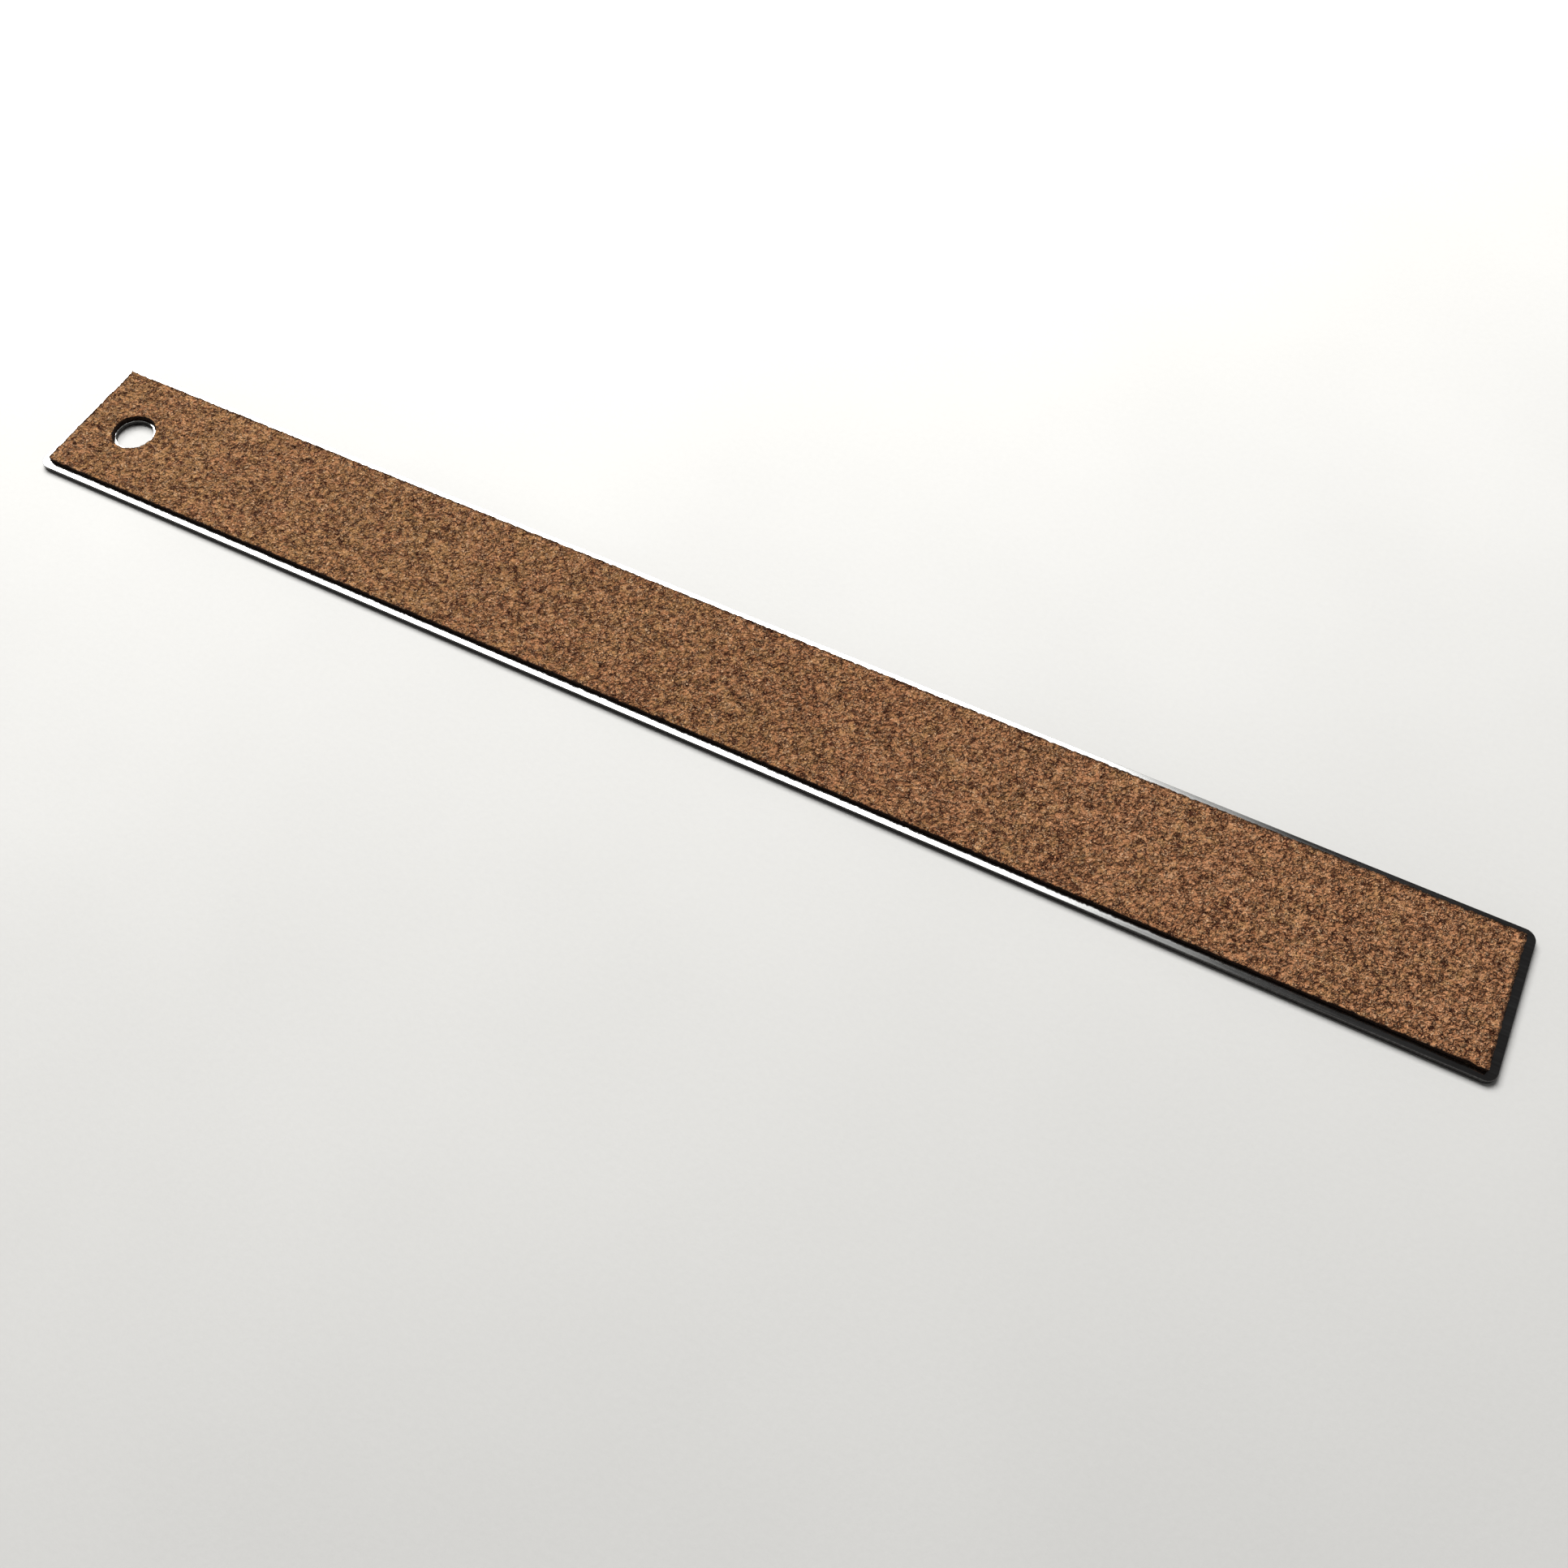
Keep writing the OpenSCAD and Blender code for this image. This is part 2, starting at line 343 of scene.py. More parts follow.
        # the near corner beside the hole is worn round
        worn = np.hypot(x - x0, y - y0)
        w = 0.32 * np.clip(1 - worn / 1.3, 0, 1) ** 1.5
        dx += w * 0.7
        dy += w * 0.7
        r = np.hypot(x - CORK_HOLE_X, y - CORK_HOLE_Y)
        a = np.arctan2(y - CORK_HOLE_Y, x - CORK_HOLE_X)
        w = np.clip(1 - (r - CORK_HOLE_R) / 1.2, 0, 1) ** 2 * (r < CORK_HOLE_R + 1.2)
        s = a * CORK_HOLE_R
        seam = 0.5 - 0.5 * np.cos(np.clip(math.pi - np.abs(a), 0, 0.3) / 0.3 * math.pi)
        out = (0.01 + 0.17 * z ** 2 + 0.03 * (value_noise(s + 60, z * 2, 0.6, 91) + 1) * 0.5
               + 0.12 * smooth(0.45, 1.0, value_noise(s + 60, z * 0.7, 1.1, 92)) * smooth(0.2, 1, z)) * (0.5 + 0.5 * seam)
        dx += w * out * np.cos(a)
        dy += w * out * np.sin(a)
        return dx, dy

    # ---- the sliced upper surface: tilted granules, gaps between them and pulled-out crumbs
    jx = px + 0.075 * value_noise(px, py, 0.45, 5)
    jy = py + 0.075 * value_noise(px, py, 0.45, 6)
    edge_dist = np.minimum(np.minimum(px - x0, x1 - px), np.minimum(py - y0, y1 - py))
    hole_dist = np.hypot(px - CORK_HOLE_X, py - CORK_HOLE_Y) - CORK_HOLE_R
    rim_dist = np.minimum(edge_dist, hole_dist)
    free = smooth(0.05, 0.7, rim_dist)
    mx, my = px + (jx - px) * free, py + (jy - py) * free

    wx = mx + 0.34 * value_noise(mx, my, 1.0, 7) + 0.12 * value_noise(mx, my, 0.42, 8)
    wy = my + 0.34 * value_noise(mx, my, 1.0, 9) + 0.12 * value_noise(mx, my, 0.42, 10)
    f1, f2, ci, cj, ox, oy = cells(wx, wy, 1.15, 20)
    g1, g2, di, dj, qx, qy = cells(wx, wy, 0.68, 24)
    gran = rnd(ci, cj, 41)
    small = rnd(di, dj, 42)
    gap = 1 - smooth(0.0, 0.2, f2 - f1)
    gap2 = 1 - smooth(0.0, 0.17, g2 - g1)
    open_gap = smooth(0.3, 0.8, 0.5 + 0.5 * value_noise(px, py, 1.3, 43))
    open_gap2 = smooth(0.35, 0.8, 0.5 + 0.5 * value_noise(px, py, 0.9, 50))
    tilt = 0.20 * ((rnd(ci, cj, 51) - 0.5) * ox + (rnd(ci, cj, 52) - 0.5) * oy)
    tilt += 0.55 * ((rnd(di, dj, 53) - 0.5) * qx + (rnd(di, dj, 54) - 0.5) * qy)
    crumb = (rnd(di, dj, 44) > 0.95) * smooth(0.0, 0.2, g2 - g1)
    big = (rnd(ci, cj, 46) > 0.99) * smooth(0.02, 0.3, f2 - f1)
    depth = 0.10 + tilt + 0.05 * (gran - 0.5) + 0.06 * (small - 0.5)
    depth += 0.07 * gap * (0.2 + 0.8 * open_gap) + 0.075 * gap2 * (0.15 + 0.85 * open_gap2)
    depth += 0.11 * crumb + 0.14 * big
    depth += 0.022 * value_noise(px, py, 0.42, 47) + 0.01 * value_noise(px, py, 4.0, 48)
    edge_near = 1 - smooth(0.0, 0.45, rim_dist)
    depth += edge_near * (0.01 + 0.05 * smooth(-0.1, 0.9, value_noise(px, py, 0.7, 49)))
    depth = np.clip(depth, 0.0, 0.4)

    dx, dy = inward(mx, my, np.ones_like(mx))
    top = np.stack([mx + dx, my + dy, zt - depth], 1)

    # ---- the cut walls, from the top border down to the adhesive
    verts = [top]
    count = n_top

    def wall(loop, levels, flip):
        nonlocal count
        above = loop
        bx, by = px[loop], py[loop]
        for lv in levels:
            ex, ey = inward(bx, by, np.full_like(bx, lv))
            z = zb + (zt - zb) * lv
            verts.append(np.stack([bx + ex, by + ey, np.full_like(bx, z)], 1))
            ids = count + np.arange(len(loop))
            count += len(loop)
            q = np.stack([above, ids, np.roll(ids, -1), np.roll(above, -1)], 1)
            quads.append(q[:, ::-1] if flip else q)
            above = ids
        return above

    low_out = wall(border, (0.66, 0.33, 0.0), False)
    low_in = wall(hole, (0.66, 0.33, 0.0), True)
    v = np.concatenate(verts)
    faces = [tuple(int(i) for i in q) for q in np.concatenate(quads)]

    # the glued underside
    loops = [list(low_out), list(low_in)]
    xy = [Vector((v[i][0], v[i][1])) for lp in loops for i in lp]
    flat_ids = loops[0] + loops[1]
    n0, n1 = len(loops[0]), len(loops[1])
    edges = [(i, (i + 1) % n0) for i in range(n0)] + [(n0 + i, n0 + (i + 1) % n1) for i in range(n1)]
    res = delaunay_2d_cdt(xy, edges, [], 1, 1e-6)
    for f in res[2]:
        ids = [flat_ids[res[3][i][0]] for i in f]
        c = sum((res[0][i] for i in f), Vector((0, 0))) / len(f)
        if math.hypot(c[0] - CORK_HOLE_X, c[1] - CORK_HOLE_Y) < CORK_HOLE_R - 0.2:
            continue
        faces.append(tuple(int(i) for i in reversed(ids)))

    ob = make_object("cork_strip", v.tolist(), faces)
    me = ob.data
    n = len(me.vertices)
    tone_and_shade = np.full(n, 0.5)
    warm = np.full(n, 0.5)
    fleck = np.zeros(n)
    cut = np.zeros(n)
    dark_bit = smooth(0.88, 0.93, small) * (1 - gap2)
    # painted shade: deep pits are darkened to stand in for the shade in them; the open gaps are darkened too, partly
    # their own dark colour and partly painted shade
    tone_and_shade[:n_top] = np.clip(0.50 + 0.10 * (gran - 0.5) + 0.12 * (small - 0.5) - 0.7 * np.clip(depth - 0.16, 0, 1)
                           - 0.14 * dark_bit - 0.05 * gap2 * open_gap2 - 0.04 * gap * open_gap
                           + 0.02 * value_noise(px, py, 3.5, 60) + 0.02 * value_noise(px, py, 11.0, 61)
                           # painted light: the top grows steadily lighter towards the +X end, making up for the lamp's
                           # light falling off there
                           + 0.26 * np.clip((px - 10) / 130, 0, 1), 0, 1)
    warm[:n_top] = np.clip(0.5 + 0.5 * (rnd(ci, cj, 62) - 0.5) + 0.22 * value_noise(px, py, 6.0, 63)
                           + 0.2 * np.clip((px + 20) / 130, -1, 1), 0, 1)
    fleck[:n_top] = (rnd(di, dj, 64) > 0.945) * (1 - gap2)
    # painted shade: the cut sides, and a hair's breadth of the top along their upper edge, are marked to take a
    # near-black colour that stands in for the shade on the walls and along the rim
    far_dist = np.minimum(np.minimum(px - x0, x1 - px), y1 - py)
    cut[:n_top] = np.maximum(1 - smooth(0.02, 0.22, rim_dist), 1 - smooth(0.18, 0.55, far_dist)) * (0.55 + 0.45 * smooth(-0.6, 0.3, value_noise(px, py, 0.8, 67)))
    cut[n_top:n] = 1.0
    side = v[n_top:n]
    wall_s = side[:, 0] + side[:, 1] * 1.7
    tone_and_shade[n_top:n] = np.clip(0.42 + 0.2 * value_noise(wall_s, side[:, 2] * 2, 0.6, 65), 0, 1)
    warm[n_top:n] = np.clip(0.5 + 0.4 * value_noise(wall_s, side[:, 2], 1.4, 66), 0, 1)
    for name, data in (("cork_tone_and_shade", tone_and_shade), ("cork_warm", warm), ("cork_fleck", fleck), ("cork_cut_shade", cut)):
        at = me.attributes.new(name, "FLOAT", "POINT")
        at.data.foreach_set("value", data.astype(np.float32))
    layer = me.attributes["sharp_edge"] if "sharp_edge" in me.attributes else me.attributes.new("sharp_edge", "BOOLEAN", "EDGE")
    rim = set()
    for loop in (border, hole, low_out, low_in):
        loop = [int(i) for i in loop]
        rim.update(tuple(sorted(p)) for p in zip(loop, loop[1:] + loop[:1]))
    layer.data.foreach_set("value", [tuple(sorted(e.vertices)) in rim for e in me.edges])
    me.update()
    return ob


# ---------------------------------------------------------------- materials
class Nodes:
    """A short way to write a node tree."""

    def __init__(self, name):
        self.mat = bpy.data.materials.new(name)
        self.mat.use_nodes = True
        self.nt = self.mat.node_tree
        self.nt.nodes.clear()
        self.out = self.nt.nodes.new("ShaderNodeOutputMaterial")
        self.bsdf = self.nt.nodes.new("ShaderNodeBsdfPrincipled")
        self.link(self.bsdf.outputs[0], self.out.inputs["Surface"])

    def link(self, a, b):
        self.nt.links.new(a, b)

    def set(self, socket, value):
        if hasattr(value, "is_linked") or hasattr(value, "links"):
            self.link(value, socket)
        else:
            socket.default_value = value

    def coords(self, scale=(1, 1, 1), offset=(0, 0, 0)):
        tc = self.nt.nodes.new("ShaderNodeTexCoord")
        mp = self.nt.nodes.new("ShaderNodeMapping")
        mp.inputs["Scale"].default_value = scale
        mp.inputs["Location"].default_value = offset
        self.link(tc.outputs["Object"], mp.inputs["Vector"])
        return mp.outputs[0]

    def noise(self, vec, scale=1.0, detail=2.0, rough=0.5, distortion=0.0):
        n = self.nt.nodes.new("ShaderNodeTexNoise")
        n.inputs["Scale"].default_value = scale
        n.inputs["Detail"].default_value = detail
        n.inputs["Roughness"].default_value = rough
        n.inputs["Distortion"].default_value = distortion
        self.link(vec, n.inputs["Vector"])
        return n.outputs["Fac"]

    def voronoi(self, vec, scale=1.0, feature="F1", out="Distance", rand=1.0):
        n = self.nt.nodes.new("ShaderNodeTexVoronoi")
        n.feature = feature
        n.inputs["Scale"].default_value = scale
        n.inputs["Randomness"].default_value = rand
        self.link(vec, n.inputs["Vector"])
        return n.outputs[out]

    def math(self, op, a, b=0.0, c=None, clamp=False):
        n = self.nt.nodes.new("ShaderNodeMath")
        n.operation = op
        n.use_clamp = clamp
        self.set(n.inputs[0], a)
        self.set(n.inputs[1], b)
        if c is not None:
            self.set(n.inputs[2], c)
        return n.outputs[0]

    def map(self, x, a, b, c, d):
        n = self.nt.nodes.new("ShaderNodeMapRange")
        n.clamp = True
        self.set(n.inputs["Value"], x)
        for key, val in (("From Min", a), ("From Max", b), ("To Min", c), ("To Max", d)):
            n.inputs[key].default_value = val
        return n.outputs["Result"]

    def ramp(self, x, stops):
        n = self.nt.nodes.new("ShaderNodeValToRGB")
        el = n.color_ramp.elements
        while len(el) < len(stops):
            el.new(0.5)
        for e, (pos, col) in zip(el, stops):
            e.position = pos
            e.color = (*col, 1.0)
        self.set(n.inputs["Fac"], x)
        return n.outputs["Color"]

    def mix(self, fac, a, b, mode="MIX"):
        n = self.nt.nodes.new("ShaderNodeMix")
        n.data_type = "RGBA"
        n.blend_type = mode
        self.set(n.inputs["Factor"], fac)
        self.set(n.inputs[6], a if hasattr(a, "links") else (*a, 1.0))
        self.set(n.inputs[7], b if hasattr(b, "links") else (*b, 1.0))
        return n.outputs[2]

    def attr(self, name):
        n = self.nt.nodes.new("ShaderNodeAttribute")
        n.attribute_name = name
        return n.outputs["Fac"]

    def bump(self, height, strength, distance, normal=None):
        n = self.nt.nodes.new("ShaderNodeBump")
        n.inputs["Strength"].default_value = strength
        n.inputs["Distance"].default_value = distance
        self.link(height, n.inputs["Height"])
        if normal is not None:
            self.link(normal, n.inputs["Normal"])
        return n.outputs[0]


def srgb(r, g, b):
    def lin(c):
        c /= 255.0
        return c / 12.92 if c <= 0.04045 else ((c + 0.055) / 1.055) ** 2.4
    return (lin(r), lin(g), lin(b))


def steel_material(name, cut=False, bright=1.0):
    m = Nodes(name)
    # brushing: hair-fine lines along the length, in three widths
    fine = m.noise(m.coords((50, 9000, 9000)), 1.0, 2.0, 0.55)
    mid = m.noise(m.coords((26, 2600, 2600), (0.3, 0.1, 0.7)), 1.0, 3.0, 0.6)
    wide = m.noise(m.coords((14, 700, 700), (1.3, 0.4, 0.2)), 1.0, 2.0, 0.5)
    smudge = m.noise(m.coords((60, 110, 110), (2.0, 0.0, 0.0)), 1.0, 4.0, 0.6)
    lines = m.math("ADD", m.math("MULTIPLY", fine, 0.40), m.math("ADD", m.math("MULTIPLY", mid, 0.38), m.math("MULTIPLY", wide, 0.22)))
    if cut:
        # the sheared sides: darkened steel with short upright tear marks
        tear = m.noise(m.coords((7000, 7000, 500), (4, 0, 1)), 1.0, 3.0, 0.6)
        col = m.ramp(tear, [(at, tuple(bright * c for c in grey)) for at, grey in (
            (0.30, (0.060, 0.058, 0.056)), (0.55, (0.11, 0.107, 0.103)), (0.75, (0.19, 0.186, 0.18)))])
        m.link(col, m.bsdf.inputs["Base Color"])
        m.link(m.map(tear, 0.3, 0.7, 0.52, 0.34), m.bsdf.inputs["Roughness"])
        m.link(m.bump(tear, 0.6, 0.00003), m.bsdf.inputs["Normal"])
    else:
        col = m.ramp(lines, [(0.30, (0.47, 0.47, 0.465)), (0.52, (0.60, 0.60, 0.595)), (0.72, (0.70, 0.70, 0.695))])
        col = m.mix(m.map(smudge, 0.45, 0.75, 0.0, 0.16), col, (0.46, 0.455, 0.44))
        m.link(col, m.bsdf.inputs["Base Color"])
        r = m.math("ADD", m.math("MULTIPLY", mid, 0.6), m.math("MULTIPLY", smudge, 0.4))
        m.link(m.map(r, 0.3, 0.7, 0.085, 0.17), m.bsdf.inputs["Roughness"])
        m.link(m.bump(lines, 0.4, 0.00002), m.bsdf.inputs["Normal"])
    m.bsdf.inputs["Metallic"].default_value = 1.0
    return m.mat


def cork_material():
    m = Nodes("cork_granules")
    tone_and_shade, warm, fleck, cut = m.attr("cork_tone_and_shade"), m.attr("cork_warm"), m.attr("cork_fleck"), m.attr("cork_cut_shade")
    vec = m.coords((1000, 1000, 1000))  # in mm

    def vmath(op, a, b, c=None):
        n = m.nt.nodes.new("ShaderNodeVectorMath")
        n.operation = op
        for k, val in enumerate((a, b, c)):
            if val is not None:
                m.set(n.inputs[k], val)
        return n

    def tilted(vec, scale, slope, k):
        """Granules of 1/scale mm, each leaning its own way: height in mm, the granule's random colour, gap distance."""
        shifted = vmath("ADD", vec, (3.7 * k, 1.3 * k, 0.0)).outputs[0]
        n = m.nt.nodes.new("ShaderNodeTexVoronoi")
        n.feature = "F1"
        n.inputs["Scale"].default_value = scale
        m.link(shifted, n.inputs["Vector"])
        away = vmath("SUBTRACT", shifted, n.outputs["Position"]).outputs[0]
        lean = vmath("SUBTRACT", n.outputs["Color"], (0.5, 0.5, 0.5)).outputs[0]
        h = vmath("DOT_PRODUCT", away, lean).outputs["Value"]
        gap = m.voronoi(shifted, scale, "DISTANCE_TO_EDGE")
        return m.math("MULTIPLY", h, slope), n.outputs["Color"], gap

    # granules too fine for the mesh, bent by a slow noise so that their outlines curl
    wob = m.nt.nodes.new("ShaderNodeTexNoise")
    wob.inputs["Scale"].default_value = 1.5
    wob.inputs["Detail"].default_value = 3.0
    m.link(vec, wob.inputs["Vector"])
    bent = vmath("MULTIPLY_ADD", wob.outputs["Color"], (0.9, 0.9, 0.9), vec).outputs[0]
    h1, c1, gap1 = tilted(bent, 0.8, 0.5, 1)
    h2, c2, gap2 = tilted(bent, 1.7, 0.7, 2)
    sep1 = m.nt.nodes.new("ShaderNodeSeparateColor")
    m.link(c1, sep1.inputs[0])
    sep2 = m.nt.nodes.new("ShaderNodeSeparateColor")
    m.link(c2, sep2.inputs[0])
    grit = m.noise(vec, 4.5, 3.0, 0.62)
    patch = m.noise(m.coords((1000, 1000, 1000), (7, 3, 0)), 0.75, 2.0, 0.5)
    patch2 = m.noise(m.coords((1000, 1000, 1000), (1, 9, 0)), 0.9, 2.0, 0.5)
    curl = m.noise(bent, 1.5, 1.0, 0.5)
    # short dark gaps where granules have parted, their dark red-brown partly the gaps' own colour and partly painted
    # shade in the recess
    open1 = m.math("MULTIPLY", m.map(gap1, 0.045, 0.09, 1.0, 0.0), m.map(patch, 0.55, 0.61, 0.0, 1.0))
    open2 = m.math("MULTIPLY", m.map(gap2, 0.05, 0.10, 1.0, 0.0), m.map(patch2, 0.55, 0.61, 0.0, 1.0))
    open3 = m.math("MULTIPLY", m.map(m.math("ABSOLUTE", m.math("SUBTRACT", curl, 0.5)), 0.02, 0.042, 1.0, 0.0),
                   m.map(patch, 0.46, 0.50, 0.0, 1.0))
    opened = m.math("MAXIMUM", m.math("MAXIMUM", open1, open2), open3)

    def spread(x, amount):
        return m.math("MULTIPLY", m.math("SUBTRACT", x, 0.5), amount)

    t = m.math("ADD", m.math("ADD", spread(tone_and_shade, 0.25), 0.5), spread(sep1.outputs[0], 0.07))
    t = m.math("ADD", t, spread(sep2.outputs[0], 0.05))
    # painted highlight and shade: each granule's raised side is lightened and its sunken side darkened, on top of the
    # bump that tilts it
    t = m.math("ADD", t, m.math("ADD", m.math("MULTIPLY", h1, 0.25), m.math("MULTIPLY", h2, 0.35)))
    t = m.math("ADD", t, spread(grit, 0.45), clamp=True)
    red = m.ramp(t, [(0.08, srgb(106, 45, 22)), (0.30, srgb(158, 97, 62)), (0.50, srgb(199, 135, 92)),
                     (0.70, srgb(245, 179, 131)), (0.92, srgb(247, 241, 187))])
    olive = m.ramp(t, [(0.08, srgb(91, 49, 19)), (0.30, srgb(146, 103, 59)), (0.50, srgb(190, 141, 90)),
                       (0.70, srgb(238, 185, 126)), (0.92, srgb(247, 246, 183))])
    # painted highlight: a pale band along one side of some of the gaps, standing in for the light caught by their
    # raised edge
    rise = m.math("SUBTRACT", curl, 0.5)
    lip_highlight = m.math("MULTIPLY", m.map(rise, 0.028, 0.045, 0.0, 1.0), m.map(rise, 0.07, 0.095, 1.0, 0.0))
    lip_highlight = m.math("MULTIPLY", lip_highlight, m.map(patch2, 0.44, 0.49, 0.0, 0.85))
    hue = m.map(m.math("ADD", warm, spread(sep1.outputs[1], 0.5)), 0.1, 0.8, 0.2, 1.0)
    col = m.mix(hue, olive, red)
    col = m.mix(m.math("MULTIPLY", fleck, m.map(grit, 0.4, 0.6, 0.15, 0.7)), col, srgb(205, 162, 128))
    # painted highlight laid over the colour
    col = m.mix(lip_highlight, col, srgb(238, 198, 158))
    # painted shade in part: the parted gaps take a dark red-brown, partly their own colour and partly the shade that
    # falls in them
    col = m.mix(m.math("MULTIPLY", opened, 0.95), col, m.mix(m.map(grit, 0.35, 0.65, 0.0, 1.0), srgb(58, 17, 4), srgb(84, 36, 14)))
    # painted shade: a near-black brown for the cut walls and the rim band, standing in for their shade
    rim_and_wall_shade = m.mix(m.map(grit, 0.35, 0.7, 0.0, 1.0), srgb(26, 14, 8), srgb(66, 40, 25))
    col = m.mix(cut, col, rim_and_wall_shade)
    m.link(col, m.bsdf.inputs["Base Color"])
    m.link(m.map(grit, 0.3, 0.7, 0.80, 0.95), m.bsdf.inputs["Roughness"])
    m.bsdf.inputs["Specular IOR Level"].default_value = 0.2
    h = m.math("ADD", m.math("ADD", h1, h2), m.math("MULTIPLY", grit, 0.08))
    h = m.math("ADD", h, m.math("MULTIPLY", curl, 0.8))
    h = m.math("SUBTRACT", h, m.math("MULTIPLY", opened, 0.11))
    m.link(m.bump(h, 1.0, 0.0032), m.bsdf.inputs["Normal"])
    return m.mat


def film_material():
    m = Nodes("adhesive_amber")
    cloud = m.noise(m.coords((400, 400, 400)), 1.0, 3.0, 0.6)
    specks = m.noise(m.coords((2500, 2500, 2500), (1, 0, 0)), 1.0, 2.0, 0.5)
    col = m.ramp(m.math("ADD", m.math("MULTIPLY", cloud, 0.7), m.math("MULTIPLY", specks, 0.3)),
                 [(0.3, srgb(120, 98, 62)), (0.7, srgb(172, 150, 104))])
    m.link(col, m.bsdf.inputs["Base Color"])
    m.link(m.map(specks, 0.3, 0.7, 0.35, 0.6), m.bsdf.inputs["Roughness"])
    m.link(m.bump(cloud, 0.4, 0.00003), m.bsdf.inputs["Normal"])
    return m.mat


def paint_material():
    m = Nodes("scale_paint_black")
    grain = m.noise(m.coords((6000, 6000, 6000)), 1.0, 2.0, 0.6)
    wear = m.noise(m.coords((900, 900, 900), (5, 2, 0)), 1.0, 4.0, 0.65)
    col = m.ramp(wear, [(0.35, (0.008, 0.008, 0.009)), (0.62, (0.014, 0.014, 0.015)), (0.80, (0.05, 0.05, 0.05))])
    m.link(col, m.bsdf.inputs["Base Color"])
    m.link(m.map(grain, 0.3, 0.7, 0.6, 0.8), m.bsdf.inputs["Roughness"])
    m.bsdf.inputs["Specular IOR Level"].default_value = 0.2
    m.link(m.bump(grain, 0.3, 0.00001), m.bsdf.inputs["Normal"])
    return m.mat


def floor_material():
    m = Nodes("floor_paper")
    tooth = m.noise(m.coords((900, 900, 900)), 1.0, 3.0, 0.6)
    cloud = m.noise(m.coords((14, 14, 14), (3, 1, 0)), 1.0, 3.0, 0.55)
    col = m.ramp(m.math("ADD", m.math("MULTIPLY", tooth, 0.35), m.math("MULTIPLY", cloud, 0.65)),
                 [(0.3, srgb(233, 232, 230)), (0.7, srgb(239, 238, 236))])
    # the light falls off towards the front
    where = m.nt.nodes.new("ShaderNodeSeparateXYZ")
    m.link(m.coords((1000, 1000, 1000)), where.inputs[0])
    col = m.mix(m.map(where.outputs[1], -165, 110, 0.134, 0.03), col, (0.0, 0.0, 0.0))
    m.link(col, m.bsdf.inputs["Base Color"])
    m.bsdf.inputs["Roughness"].default_value = 0.9
    m.bsdf.inputs["Specular IOR Level"].default_value = 0.2
    m.link(m.bump(tooth, 0.25, 0.00008), m.bsdf.inputs["Normal"])
    return m.mat


# ---------------------------------------------------------------- the ruler
def put(ob, *mats):
    ob.data.materials.clear()
    for mat in mats:
        ob.data.materials.append(mat)


steel_face = steel_material("steel_brushed")
steel_edge = steel_material("steel_cut_side", cut=True, bright=0.5)
steel_arris = steel_material("steel_worn_edge", cut=True, bright=1.6)
blade = build_blade()
kinds = [p.material_index for p in blade.data.polygons]
put(blade, steel_face, steel_edge, steel_edge, steel_arris, steel_face)
blade.data.polygons.foreach_set("material_index", kinds)
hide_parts("steel_blade")
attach(blade, "root")

cork = build_cork()
put(cork, cork_material())
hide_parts("cork_backing")
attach(cork, "root")

put(nodes["adhesive_film"], film_material())
paint = paint_material()
for name in ("inch_graduations", "inch_numerals", "metric_graduations", "metric_numerals"):
    put(nodes[name], paint)

# ---------------------------------------------------------------- floor
half = 4.0
floor = make_object("floor", [(-half / MM, -half / MM, -0.03), (half / MM, -half / MM, -0.03),
                              (half / MM, half / MM, -0.03), (-half / MM, half / MM, -0.03)], [(0, 1, 2, 3)], False)
put(floor, floor_material())

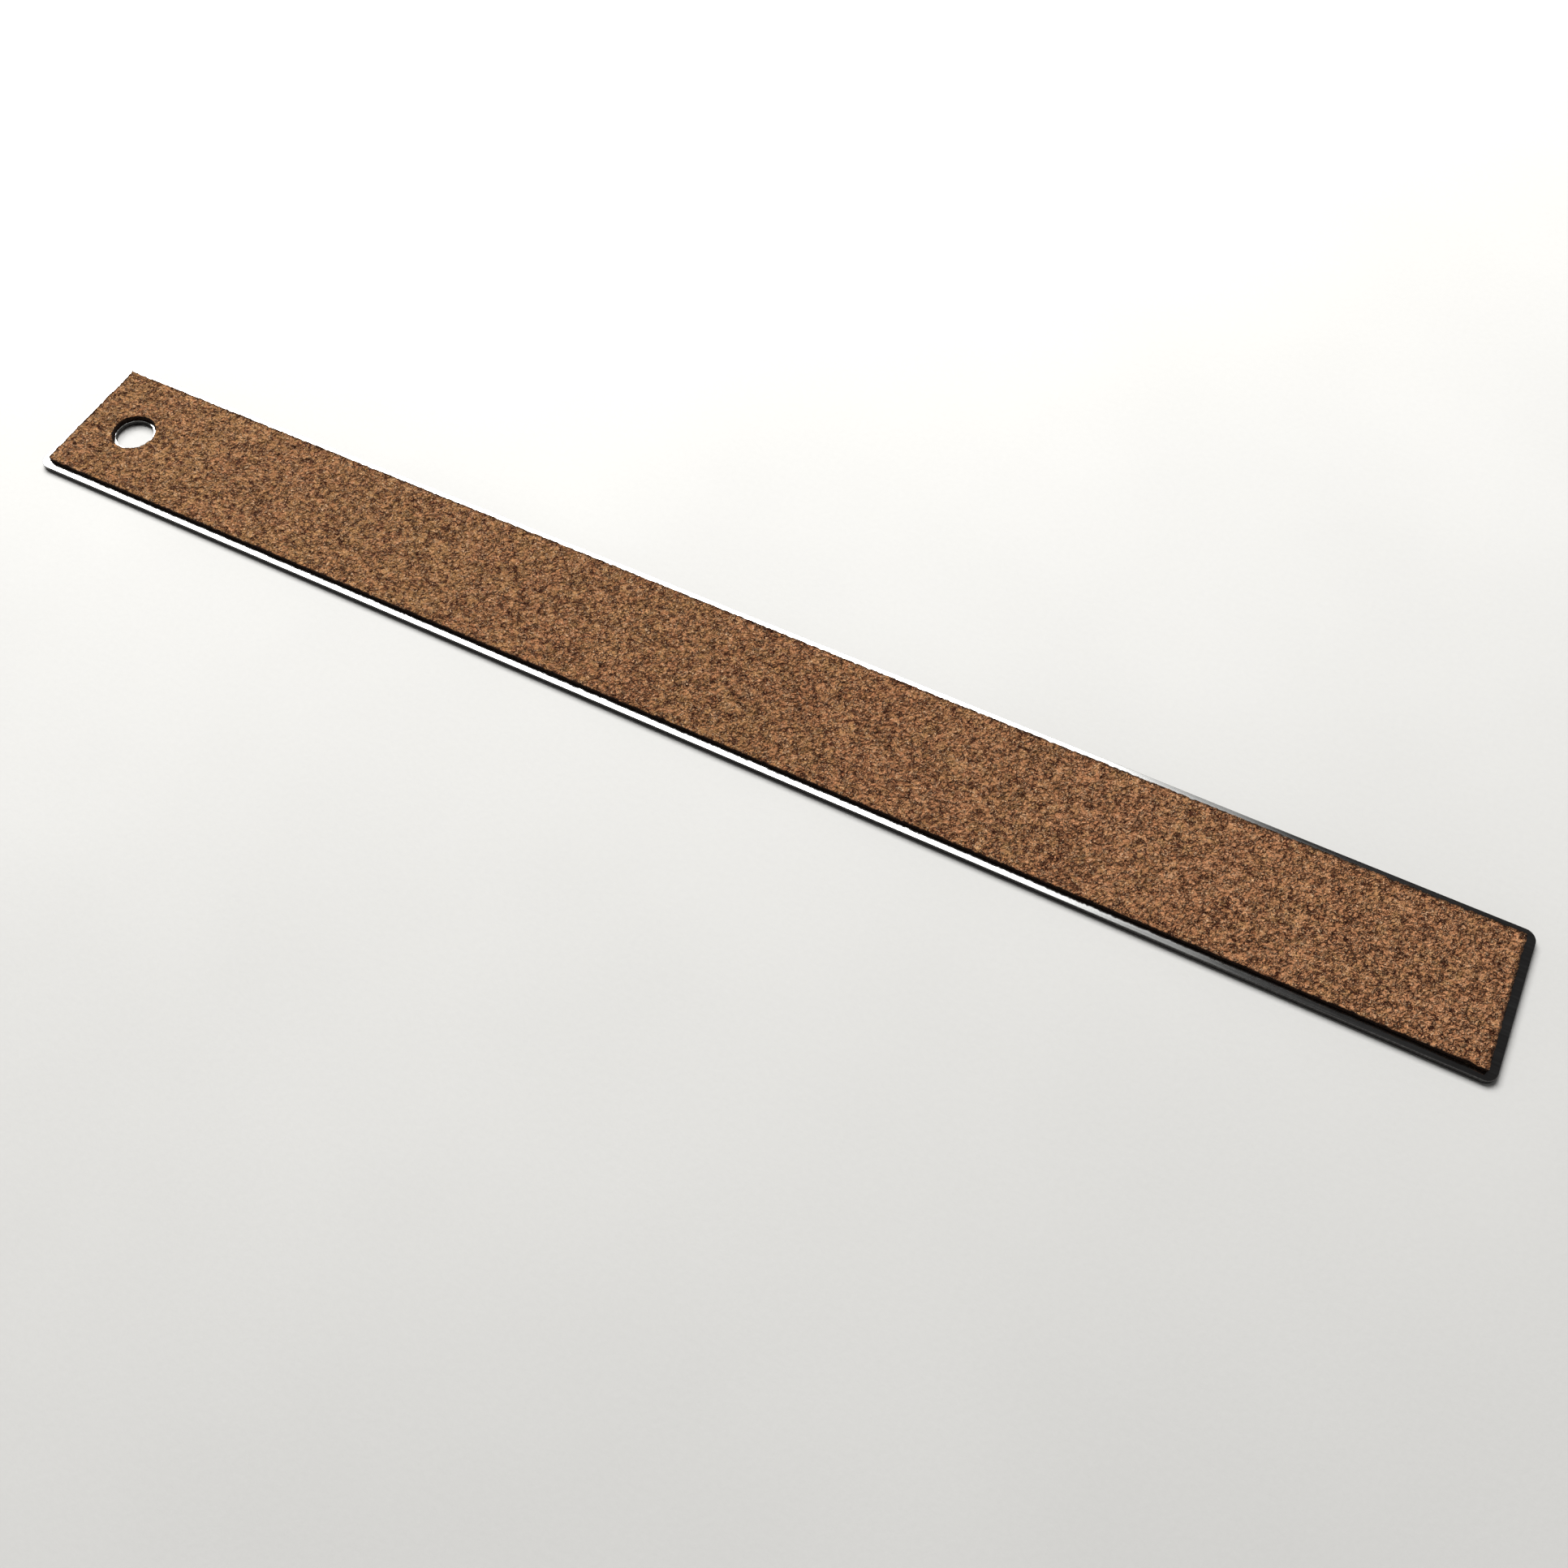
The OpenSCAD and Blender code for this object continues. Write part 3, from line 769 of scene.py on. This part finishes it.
# ---------------------------------------------------------------- light
world = bpy.data.worlds.new("studio")
world.use_nodes = True
scene.world = world
wt = world.node_tree
wt.nodes.clear()
w_out = wt.nodes.new("ShaderNodeOutputWorld")
w_bg = wt.nodes.new("ShaderNodeBackground")
w_tc = wt.nodes.new("ShaderNodeTexCoord")
w_sep = wt.nodes.new("ShaderNodeSeparateXYZ")
w_ramp = wt.nodes.new("ShaderNodeValToRGB")
wt.links.new(w_tc.outputs["Generated"], w_sep.inputs[0])
wt.links.new(w_sep.outputs["Z"], w_ramp.inputs["Fac"])
wt.links.new(w_ramp.outputs["Color"], w_bg.inputs["Color"])
wt.links.new(w_bg.outputs[0], w_out.inputs["Surface"])
el = w_ramp.color_ramp.elements
el[0].position, el[0].color = 0.0, (0.62, 0.62, 0.61, 1)
el[1].position, el[1].color = 0.55, (0.022, 0.021, 0.021, 1)
mid_stop = el.new(0.25)
mid_stop.color = (0.42, 0.42, 0.42, 1)
w_bg.inputs["Strength"].default_value = 1.0


def softbox(name, x0, x1, y0, y1, z, radiance):
    """A level panel light at height z over the area given, in metres."""
    lamp = bpy.data.lights.new(name, "AREA")
    lamp.shape = "RECTANGLE"
    lamp.size, lamp.size_y = x1 - x0, y1 - y0
    lamp.energy = radiance * math.pi * lamp.size * lamp.size_y
    lamp.color = (1.0, 1.0, 0.985)
    ob = bpy.data.objects.new(name, lamp)
    ob.location = ((x0 + x1) / 2, (y0 + y1) / 2, z)
    scene.collection.objects.link(ob)
    return ob


softbox("window_main", -1.30, -0.12, 0.15, 1.15, 1.0, 8.8)
softbox("window_edge", -0.12, 0.0, 0.15, 1.15, 1.0, 4.0)
softbox("window_fall_a", 0.0, 0.06, 0.15, 1.15, 1.0, 1.25)
softbox("window_fall_b", 0.06, 0.15, 0.15, 1.15, 1.0, 0.5)

# ---------------------------------------------------------------- camera
R = Matrix(((0.8947799917, 0.4464972247, 0.0029991248),
            (0.3822431573, -0.7625087134, -0.5219871940),
            (-0.2307789747, 0.4682100921, -0.8529480491)))
T = Vector((-12.3650646, -20.2023970, 315.8147868)) * MM
cam_data = bpy.data.cameras.new("camera")
cam_data.sensor_fit = "HORIZONTAL"
cam_data.sensor_width = 36.0
cam_data.lens = 1987.9909 / 1932.0 * 36.0
cam_data.clip_start = 0.01
cam_data.clip_end = 50.0
cam = bpy.data.objects.new("camera", cam_data)
scene.collection.objects.link(cam)
right, down, fwd = R[0], R[1], R[2]
rot = Matrix((right, -down, -fwd)).transposed()
cam.matrix_world = Matrix.Translation(-(R.transposed() @ T)) @ rot.to_4x4()
scene.camera = cam
scene.view_settings.view_transform = "Standard"
scene.view_settings.look = "None"
